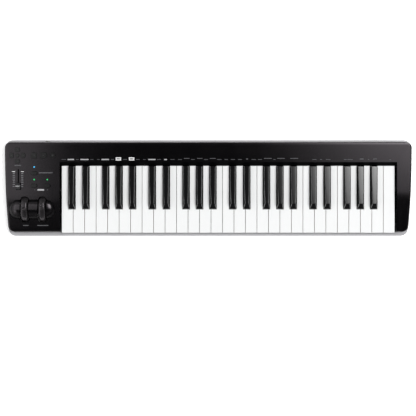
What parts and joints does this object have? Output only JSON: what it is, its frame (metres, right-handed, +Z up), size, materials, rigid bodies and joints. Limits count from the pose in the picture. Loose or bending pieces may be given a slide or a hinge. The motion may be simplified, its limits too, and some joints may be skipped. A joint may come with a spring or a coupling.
{
  "type": "midi keyboard",
  "caption": "Slim two-part case with a row of hinged piano keys, pitch and modulation wheels in a raised hump, a volume slider, rubber control keys and rear sockets.",
  "frame": {"origin": "on the table, under the middle of the lower case", "axes": "+X along the keys towards the high notes, +Y from the player to the rear, +Z up"},
  "size_m": [0.836, 0.1974, 0.0665],
  "materials": {
    "upper_case": "satin black moulding",
    "lower_case": "light grey, fine texture",
    "chassis": "dark grey moulding",
    "rod": "drawn steel",
    "boards": "green board",
    "feet": "black rubber",
    "wheels": "satin charcoal",
    "slider_cap": "satin black",
    "keypads": "silicone rubber, matt",
    "white_keys": "glossy white",
    "black_keys": "satin black"
  },
  "bodies": {
    "case": {"top_case": "upper_case", "bottom_case": "lower_case", "key_chassis": "chassis", "pivot_rod": "rod", "circuit_boards": "boards", "rubber_feet": "feet"},
    "pitch_wheel": {"pitch_wheel": "wheels"},
    "mod_wheel": {"mod_wheel": "wheels"},
    "volume_slider": {"volume_slider": "slider_cap"},
    "control_keypad": {"control_keypad": "keypads"},
    "octave_keypad": {"octave_keypad": "keypads"},
    "white_key_c2": {"white_key_c2": "white_keys"},
    "black_key_cs2": {"black_key_cs2": "black_keys"},
    "white_key_d2": {"white_key_d2": "white_keys"},
    "black_key_ds2": {"black_key_ds2": "black_keys"},
    "white_key_e2": {"white_key_e2": "white_keys"},
    "white_key_f2": {"white_key_f2": "white_keys"},
    "black_key_fs2": {"black_key_fs2": "black_keys"},
    "white_key_g2": {"white_key_g2": "white_keys"},
    "black_key_gs2": {"black_key_gs2": "black_keys"},
    "white_key_a2": {"white_key_a2": "white_keys"},
    "black_key_as2": {"black_key_as2": "black_keys"},
    "white_key_b2": {"white_key_b2": "white_keys"},
    "white_key_c3": {"white_key_c3": "white_keys"},
    "black_key_cs3": {"black_key_cs3": "black_keys"},
    "white_key_d3": {"white_key_d3": "white_keys"},
    "black_key_ds3": {"black_key_ds3": "black_keys"},
    "white_key_e3": {"white_key_e3": "white_keys"},
    "white_key_f3": {"white_key_f3": "white_keys"},
    "black_key_fs3": {"black_key_fs3": "black_keys"},
    "white_key_g3": {"white_key_g3": "white_keys"},
    "black_key_gs3": {"black_key_gs3": "black_keys"},
    "white_key_a3": {"white_key_a3": "white_keys"},
    "black_key_as3": {"black_key_as3": "black_keys"},
    "white_key_b3": {"white_key_b3": "white_keys"},
    "white_key_c4": {"white_key_c4": "white_keys"},
    "black_key_cs4": {"black_key_cs4": "black_keys"},
    "white_key_d4": {"white_key_d4": "white_keys"},
    "black_key_ds4": {"black_key_ds4": "black_keys"},
    "white_key_e4": {"white_key_e4": "white_keys"},
    "white_key_f4": {"white_key_f4": "white_keys"},
    "black_key_fs4": {"black_key_fs4": "black_keys"},
    "white_key_g4": {"white_key_g4": "white_keys"},
    "black_key_gs4": {"black_key_gs4": "black_keys"},
    "white_key_a4": {"white_key_a4": "white_keys"},
    "black_key_as4": {"black_key_as4": "black_keys"},
    "white_key_b4": {"white_key_b4": "white_keys"},
    "white_key_c5": {"white_key_c5": "white_keys"},
    "black_key_cs5": {"black_key_cs5": "black_keys"},
    "white_key_d5": {"white_key_d5": "white_keys"},
    "black_key_ds5": {"black_key_ds5": "black_keys"},
    "white_key_e5": {"white_key_e5": "white_keys"},
    "white_key_f5": {"white_key_f5": "white_keys"},
    "black_key_fs5": {"black_key_fs5": "black_keys"},
    "white_key_g5": {"white_key_g5": "white_keys"},
    "black_key_gs5": {"black_key_gs5": "black_keys"},
    "white_key_a5": {"white_key_a5": "white_keys"},
    "black_key_as5": {"black_key_as5": "black_keys"},
    "white_key_b5": {"white_key_b5": "white_keys"},
    "white_key_c6": {"white_key_c6": "white_keys"}
  },
  "joints": [
    {"name": "pitch_wheel_turn", "type": "hinge", "parent": "case", "child": "pitch_wheel", "pos_m": [-0.37385, -0.0429, 0.0395], "axis": [-1, 0, 0], "range_deg": [-40, 40], "stiffness_Nm_per_rad": 0.06},
    {"name": "mod_wheel_turn", "type": "hinge", "parent": "case", "child": "mod_wheel", "pos_m": [-0.33805, -0.0429, 0.0395], "axis": [-1, 0, 0], "range_deg": [-55, 20]},
    {"name": "volume_slide", "type": "slide", "parent": "case", "child": "volume_slider", "axis": [0, 1, 0], "range_m": [0, 0.03]},
    {"name": "control_press", "type": "slide", "parent": "case", "child": "control_keypad", "axis": [0, 0, -1], "range_m": [0, 0.0012], "stiffness_N_per_m": 1000, "springref_m": -0.0005},
    {"name": "octave_press", "type": "slide", "parent": "case", "child": "octave_keypad", "axis": [0, 0, -1], "range_m": [0, 0.0012], "stiffness_N_per_m": 1000, "springref_m": -0.0005},
    {"name": "white_key_c2_dip", "type": "hinge", "parent": "case", "child": "white_key_c2", "pos_m": [-0.29315, 0.0749, 0.036], "axis": [1, 0, 0], "range_deg": [0, 3.5], "stiffness_Nm_per_rad": 0.8, "springref_deg": -7.16},
    {"name": "black_key_cs2_dip", "type": "hinge", "parent": "case", "child": "black_key_cs2", "pos_m": [-0.27905, 0.0749, 0.036], "axis": [1, 0, 0], "range_deg": [0, 4], "stiffness_Nm_per_rad": 0.8, "springref_deg": -7.16},
    {"name": "white_key_d2_dip", "type": "hinge", "parent": "case", "child": "white_key_d2", "pos_m": [-0.2647, 0.0749, 0.036], "axis": [1, 0, 0], "range_deg": [0, 3.5], "stiffness_Nm_per_rad": 0.8, "springref_deg": -7.16},
    {"name": "black_key_ds2_dip", "type": "hinge", "parent": "case", "child": "black_key_ds2", "pos_m": [-0.25035, 0.0749, 0.036], "axis": [1, 0, 0], "range_deg": [0, 4], "stiffness_Nm_per_rad": 0.8, "springref_deg": -7.16},
    {"name": "white_key_e2_dip", "type": "hinge", "parent": "case", "child": "white_key_e2", "pos_m": [-0.23625, 0.0749, 0.036], "axis": [1, 0, 0], "range_deg": [0, 3.5], "stiffness_Nm_per_rad": 0.8, "springref_deg": -7.16},
    {"name": "white_key_f2_dip", "type": "hinge", "parent": "case", "child": "white_key_f2", "pos_m": [-0.2233, 0.0749, 0.036], "axis": [1, 0, 0], "range_deg": [0, 3.5], "stiffness_Nm_per_rad": 0.8, "springref_deg": -7.16},
    {"name": "black_key_fs2_dip", "type": "hinge", "parent": "case", "child": "black_key_fs2", "pos_m": [-0.20985, 0.0749, 0.036], "axis": [1, 0, 0], "range_deg": [0, 4], "stiffness_Nm_per_rad": 0.8, "springref_deg": -7.16},
    {"name": "white_key_g2_dip", "type": "hinge", "parent": "case", "child": "white_key_g2", "pos_m": [-0.19615, 0.0749, 0.036], "axis": [1, 0, 0], "range_deg": [0, 3.5], "stiffness_Nm_per_rad": 0.8, "springref_deg": -7.16},
    {"name": "black_key_gs2_dip", "type": "hinge", "parent": "case", "child": "black_key_gs2", "pos_m": [-0.18245, 0.0749, 0.036], "axis": [1, 0, 0], "range_deg": [0, 4], "stiffness_Nm_per_rad": 0.8, "springref_deg": -7.16},
    {"name": "white_key_a2_dip", "type": "hinge", "parent": "case", "child": "white_key_a2", "pos_m": [-0.16875, 0.0749, 0.036], "axis": [1, 0, 0], "range_deg": [0, 3.5], "stiffness_Nm_per_rad": 0.8, "springref_deg": -7.16},
    {"name": "black_key_as2_dip", "type": "hinge", "parent": "case", "child": "black_key_as2", "pos_m": [-0.15505, 0.0749, 0.036], "axis": [1, 0, 0], "range_deg": [0, 4], "stiffness_Nm_per_rad": 0.8, "springref_deg": -7.16},
    {"name": "white_key_b2_dip", "type": "hinge", "parent": "case", "child": "white_key_b2", "pos_m": [-0.1416, 0.0749, 0.036], "axis": [1, 0, 0], "range_deg": [0, 3.5], "stiffness_Nm_per_rad": 0.8, "springref_deg": -7.16},
    {"name": "white_key_c3_dip", "type": "hinge", "parent": "case", "child": "white_key_c3", "pos_m": [-0.12865, 0.0749, 0.036], "axis": [1, 0, 0], "range_deg": [0, 3.5], "stiffness_Nm_per_rad": 0.8, "springref_deg": -7.16},
    {"name": "black_key_cs3_dip", "type": "hinge", "parent": "case", "child": "black_key_cs3", "pos_m": [-0.11455, 0.0749, 0.036], "axis": [1, 0, 0], "range_deg": [0, 4], "stiffness_Nm_per_rad": 0.8, "springref_deg": -7.16},
    {"name": "white_key_d3_dip", "type": "hinge", "parent": "case", "child": "white_key_d3", "pos_m": [-0.1002, 0.0749, 0.036], "axis": [1, 0, 0], "range_deg": [0, 3.5], "stiffness_Nm_per_rad": 0.8, "springref_deg": -7.16},
    {"name": "black_key_ds3_dip", "type": "hinge", "parent": "case", "child": "black_key_ds3", "pos_m": [-0.08585, 0.0749, 0.036], "axis": [1, 0, 0], "range_deg": [0, 4], "stiffness_Nm_per_rad": 0.8, "springref_deg": -7.16},
    {"name": "white_key_e3_dip", "type": "hinge", "parent": "case", "child": "white_key_e3", "pos_m": [-0.07175, 0.0749, 0.036], "axis": [1, 0, 0], "range_deg": [0, 3.5], "stiffness_Nm_per_rad": 0.8, "springref_deg": -7.16},
    {"name": "white_key_f3_dip", "type": "hinge", "parent": "case", "child": "white_key_f3", "pos_m": [-0.0588, 0.0749, 0.036], "axis": [1, 0, 0], "range_deg": [0, 3.5], "stiffness_Nm_per_rad": 0.8, "springref_deg": -7.16},
    {"name": "black_key_fs3_dip", "type": "hinge", "parent": "case", "child": "black_key_fs3", "pos_m": [-0.04535, 0.0749, 0.036], "axis": [1, 0, 0], "range_deg": [0, 4], "stiffness_Nm_per_rad": 0.8, "springref_deg": -7.16},
    {"name": "white_key_g3_dip", "type": "hinge", "parent": "case", "child": "white_key_g3", "pos_m": [-0.03165, 0.0749, 0.036], "axis": [1, 0, 0], "range_deg": [0, 3.5], "stiffness_Nm_per_rad": 0.8, "springref_deg": -7.16},
    {"name": "black_key_gs3_dip", "type": "hinge", "parent": "case", "child": "black_key_gs3", "pos_m": [-0.01795, 0.0749, 0.036], "axis": [1, 0, 0], "range_deg": [0, 4], "stiffness_Nm_per_rad": 0.8, "springref_deg": -7.16},
    {"name": "white_key_a3_dip", "type": "hinge", "parent": "case", "child": "white_key_a3", "pos_m": [-0.00425, 0.0749, 0.036], "axis": [1, 0, 0], "range_deg": [0, 3.5], "stiffness_Nm_per_rad": 0.8, "springref_deg": -7.16},
    {"name": "black_key_as3_dip", "type": "hinge", "parent": "case", "child": "black_key_as3", "pos_m": [0.00945, 0.0749, 0.036], "axis": [1, 0, 0], "range_deg": [0, 4], "stiffness_Nm_per_rad": 0.8, "springref_deg": -7.16},
    {"name": "white_key_b3_dip", "type": "hinge", "parent": "case", "child": "white_key_b3", "pos_m": [0.0229, 0.0749, 0.036], "axis": [1, 0, 0], "range_deg": [0, 3.5], "stiffness_Nm_per_rad": 0.8, "springref_deg": -7.16},
    {"name": "white_key_c4_dip", "type": "hinge", "parent": "case", "child": "white_key_c4", "pos_m": [0.03585, 0.0749, 0.036], "axis": [1, 0, 0], "range_deg": [0, 3.5], "stiffness_Nm_per_rad": 0.8, "springref_deg": -7.16},
    {"name": "black_key_cs4_dip", "type": "hinge", "parent": "case", "child": "black_key_cs4", "pos_m": [0.04995, 0.0749, 0.036], "axis": [1, 0, 0], "range_deg": [0, 4], "stiffness_Nm_per_rad": 0.8, "springref_deg": -7.16},
    {"name": "white_key_d4_dip", "type": "hinge", "parent": "case", "child": "white_key_d4", "pos_m": [0.0643, 0.0749, 0.036], "axis": [1, 0, 0], "range_deg": [0, 3.5], "stiffness_Nm_per_rad": 0.8, "springref_deg": -7.16},
    {"name": "black_key_ds4_dip", "type": "hinge", "parent": "case", "child": "black_key_ds4", "pos_m": [0.07865, 0.0749, 0.036], "axis": [1, 0, 0], "range_deg": [0, 4], "stiffness_Nm_per_rad": 0.8, "springref_deg": -7.16},
    {"name": "white_key_e4_dip", "type": "hinge", "parent": "case", "child": "white_key_e4", "pos_m": [0.09275, 0.0749, 0.036], "axis": [1, 0, 0], "range_deg": [0, 3.5], "stiffness_Nm_per_rad": 0.8, "springref_deg": -7.16},
    {"name": "white_key_f4_dip", "type": "hinge", "parent": "case", "child": "white_key_f4", "pos_m": [0.1057, 0.0749, 0.036], "axis": [1, 0, 0], "range_deg": [0, 3.5], "stiffness_Nm_per_rad": 0.8, "springref_deg": -7.16},
    {"name": "black_key_fs4_dip", "type": "hinge", "parent": "case", "child": "black_key_fs4", "pos_m": [0.11915, 0.0749, 0.036], "axis": [1, 0, 0], "range_deg": [0, 4], "stiffness_Nm_per_rad": 0.8, "springref_deg": -7.16},
    {"name": "white_key_g4_dip", "type": "hinge", "parent": "case", "child": "white_key_g4", "pos_m": [0.13285, 0.0749, 0.036], "axis": [1, 0, 0], "range_deg": [0, 3.5], "stiffness_Nm_per_rad": 0.8, "springref_deg": -7.16},
    {"name": "black_key_gs4_dip", "type": "hinge", "parent": "case", "child": "black_key_gs4", "pos_m": [0.14655, 0.0749, 0.036], "axis": [1, 0, 0], "range_deg": [0, 4], "stiffness_Nm_per_rad": 0.8, "springref_deg": -7.16},
    {"name": "white_key_a4_dip", "type": "hinge", "parent": "case", "child": "white_key_a4", "pos_m": [0.16025, 0.0749, 0.036], "axis": [1, 0, 0], "range_deg": [0, 3.5], "stiffness_Nm_per_rad": 0.8, "springref_deg": -7.16},
    {"name": "black_key_as4_dip", "type": "hinge", "parent": "case", "child": "black_key_as4", "pos_m": [0.17395, 0.0749, 0.036], "axis": [1, 0, 0], "range_deg": [0, 4], "stiffness_Nm_per_rad": 0.8, "springref_deg": -7.16},
    {"name": "white_key_b4_dip", "type": "hinge", "parent": "case", "child": "white_key_b4", "pos_m": [0.1874, 0.0749, 0.036], "axis": [1, 0, 0], "range_deg": [0, 3.5], "stiffness_Nm_per_rad": 0.8, "springref_deg": -7.16},
    {"name": "white_key_c5_dip", "type": "hinge", "parent": "case", "child": "white_key_c5", "pos_m": [0.20035, 0.0749, 0.036], "axis": [1, 0, 0], "range_deg": [0, 3.5], "stiffness_Nm_per_rad": 0.8, "springref_deg": -7.16},
    {"name": "black_key_cs5_dip", "type": "hinge", "parent": "case", "child": "black_key_cs5", "pos_m": [0.21445, 0.0749, 0.036], "axis": [1, 0, 0], "range_deg": [0, 4], "stiffness_Nm_per_rad": 0.8, "springref_deg": -7.16},
    {"name": "white_key_d5_dip", "type": "hinge", "parent": "case", "child": "white_key_d5", "pos_m": [0.2288, 0.0749, 0.036], "axis": [1, 0, 0], "range_deg": [0, 3.5], "stiffness_Nm_per_rad": 0.8, "springref_deg": -7.16},
    {"name": "black_key_ds5_dip", "type": "hinge", "parent": "case", "child": "black_key_ds5", "pos_m": [0.24315, 0.0749, 0.036], "axis": [1, 0, 0], "range_deg": [0, 4], "stiffness_Nm_per_rad": 0.8, "springref_deg": -7.16},
    {"name": "white_key_e5_dip", "type": "hinge", "parent": "case", "child": "white_key_e5", "pos_m": [0.25725, 0.0749, 0.036], "axis": [1, 0, 0], "range_deg": [0, 3.5], "stiffness_Nm_per_rad": 0.8, "springref_deg": -7.16},
    {"name": "white_key_f5_dip", "type": "hinge", "parent": "case", "child": "white_key_f5", "pos_m": [0.2702, 0.0749, 0.036], "axis": [1, 0, 0], "range_deg": [0, 3.5], "stiffness_Nm_per_rad": 0.8, "springref_deg": -7.16},
    {"name": "black_key_fs5_dip", "type": "hinge", "parent": "case", "child": "black_key_fs5", "pos_m": [0.28365, 0.0749, 0.036], "axis": [1, 0, 0], "range_deg": [0, 4], "stiffness_Nm_per_rad": 0.8, "springref_deg": -7.16},
    {"name": "white_key_g5_dip", "type": "hinge", "parent": "case", "child": "white_key_g5", "pos_m": [0.29735, 0.0749, 0.036], "axis": [1, 0, 0], "range_deg": [0, 3.5], "stiffness_Nm_per_rad": 0.8, "springref_deg": -7.16},
    {"name": "black_key_gs5_dip", "type": "hinge", "parent": "case", "child": "black_key_gs5", "pos_m": [0.31105, 0.0749, 0.036], "axis": [1, 0, 0], "range_deg": [0, 4], "stiffness_Nm_per_rad": 0.8, "springref_deg": -7.16},
    {"name": "white_key_a5_dip", "type": "hinge", "parent": "case", "child": "white_key_a5", "pos_m": [0.32475, 0.0749, 0.036], "axis": [1, 0, 0], "range_deg": [0, 3.5], "stiffness_Nm_per_rad": 0.8, "springref_deg": -7.16},
    {"name": "black_key_as5_dip", "type": "hinge", "parent": "case", "child": "black_key_as5", "pos_m": [0.33845, 0.0749, 0.036], "axis": [1, 0, 0], "range_deg": [0, 4], "stiffness_Nm_per_rad": 0.8, "springref_deg": -7.16},
    {"name": "white_key_b5_dip", "type": "hinge", "parent": "case", "child": "white_key_b5", "pos_m": [0.3519, 0.0749, 0.036], "axis": [1, 0, 0], "range_deg": [0, 3.5], "stiffness_Nm_per_rad": 0.8, "springref_deg": -7.16},
    {"name": "white_key_c6_dip", "type": "hinge", "parent": "case", "child": "white_key_c6", "pos_m": [0.3698, 0.0749, 0.036], "axis": [1, 0, 0], "range_deg": [0, 3.5], "stiffness_Nm_per_rad": 0.8, "springref_deg": -7.16}
  ]
}
